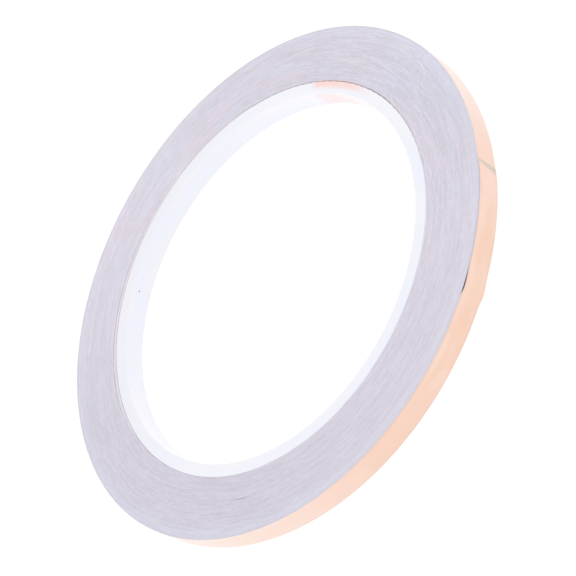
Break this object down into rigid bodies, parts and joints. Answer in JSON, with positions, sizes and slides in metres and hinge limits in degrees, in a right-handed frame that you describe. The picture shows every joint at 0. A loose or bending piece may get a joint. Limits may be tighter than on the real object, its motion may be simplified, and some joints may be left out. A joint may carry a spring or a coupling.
{
  "type": "copper foil tape roll",
  "caption": "Narrow roll of self-adhesive copper foil with a paper release liner, wound on a plastic ring core, with a free end that lifts and peels.",
  "frame": {"origin": "centre of the roll on its lower side face", "axes": "+Z along the roll's axis, up out of the side face that shows; +X through the square-cut free end of the strip; the strip winds outwards anticlockwise seen from +Z"},
  "size_m": [0.1053, 0.1052, 0.005],
  "materials": {
    "core_plastic": "moulded white plastic, slightly translucent, glossy",
    "copper_foil": "bright annealed copper, rolled, satin",
    "acrylic_adhesive": "clear acrylic adhesive film",
    "release_liner": "white silicone-coated release paper",
    "wound_edge": "slit edges of foil, adhesive and liner, wound tight"
  },
  "bodies": {
    "roll": {"core_ring": "core_plastic", "starter_adhesive": "acrylic_adhesive", "starter_foil": "copper_foil", "wound_pack": "wound_edge", "outer_liner": "release_liner", "outer_adhesive": "acrylic_adhesive", "outer_foil": "copper_foil"},
    "liner_end": {"tail_liner": "release_liner"},
    "foil_end": {"tail_adhesive": "acrylic_adhesive", "tail_foil": "copper_foil"}
  },
  "joints": [
    {"name": "tail_lift", "type": "hinge", "parent": "roll", "child": "liner_end", "pos_m": [0.0461, -0.02552, 0.0025], "axis": [0, 0, -1], "range_deg": [0, 75]},
    {"name": "foil_peel", "type": "hinge", "parent": "liner_end", "child": "foil_end", "pos_m": [0.0461, -0.02552, 0.0025], "axis": [0, 0, -1], "range_deg": [0, 80]}
  ]
}
